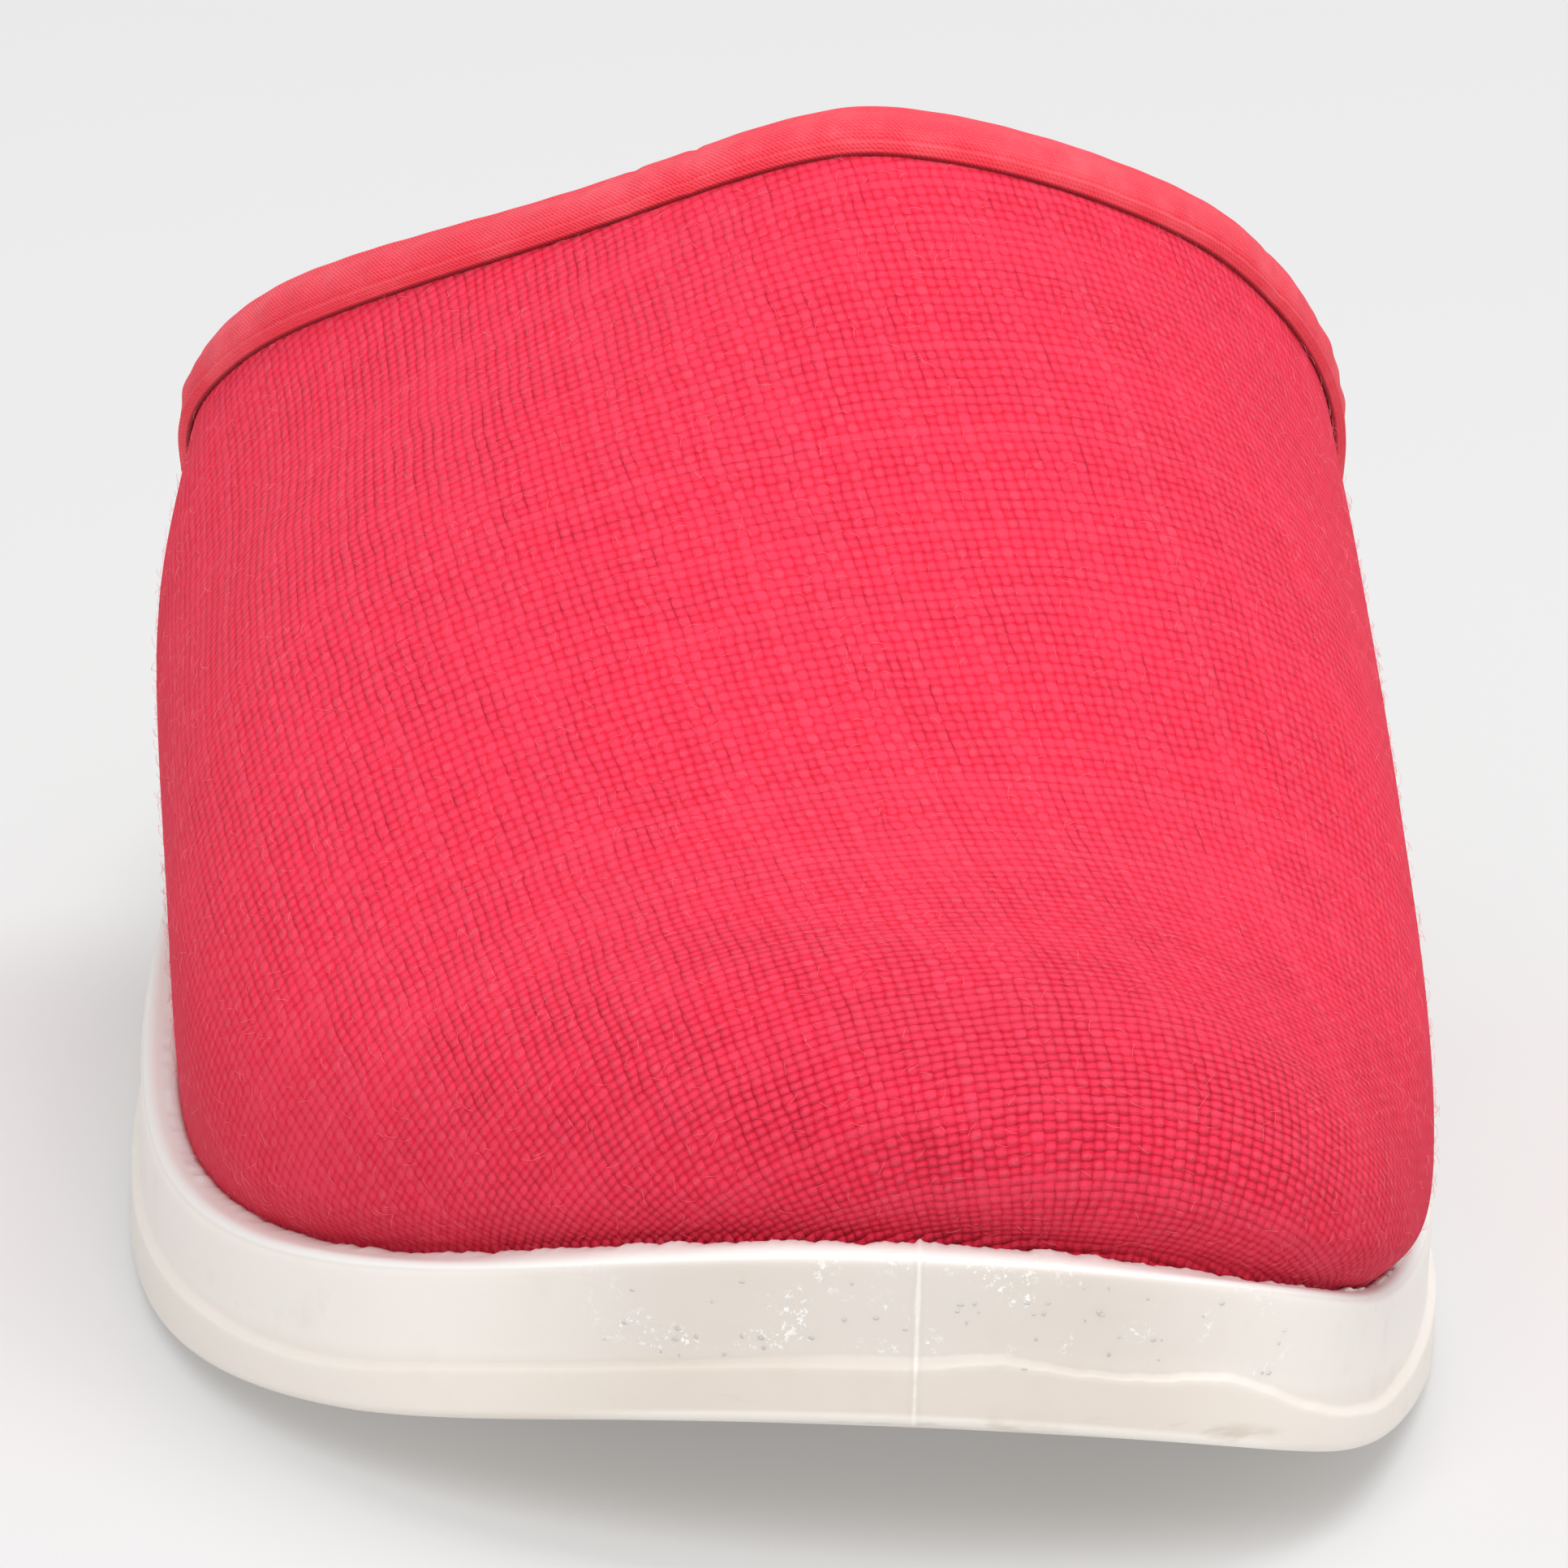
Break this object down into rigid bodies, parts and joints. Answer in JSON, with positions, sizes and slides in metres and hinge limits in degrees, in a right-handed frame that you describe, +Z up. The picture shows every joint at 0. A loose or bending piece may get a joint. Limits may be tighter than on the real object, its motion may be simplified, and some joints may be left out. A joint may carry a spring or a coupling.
{
  "type": "clog slipper",
  "caption": "Backless right-foot clog slipper: canvas upper with a bound topline on a moulded rubber sole.",
  "frame": {"origin": "on the floor under the middle of the slipper's box", "axes": "+Z up, -Y to the toe, +X to the inner side of the foot, where the big toe is"},
  "size_m": [0.1008, 0.265, 0.083],
  "materials": {
    "canvas": "matt slubby plain weave",
    "tape": "matt fine twill tape",
    "footbed": "matt lining cloth",
    "sole_rubber": "satin moulded rubber"
  },
  "bodies": {
    "root": {"upper": "canvas", "binding": "tape", "insole": "footbed", "sole": "sole_rubber"}
  },
  "joints": []
}
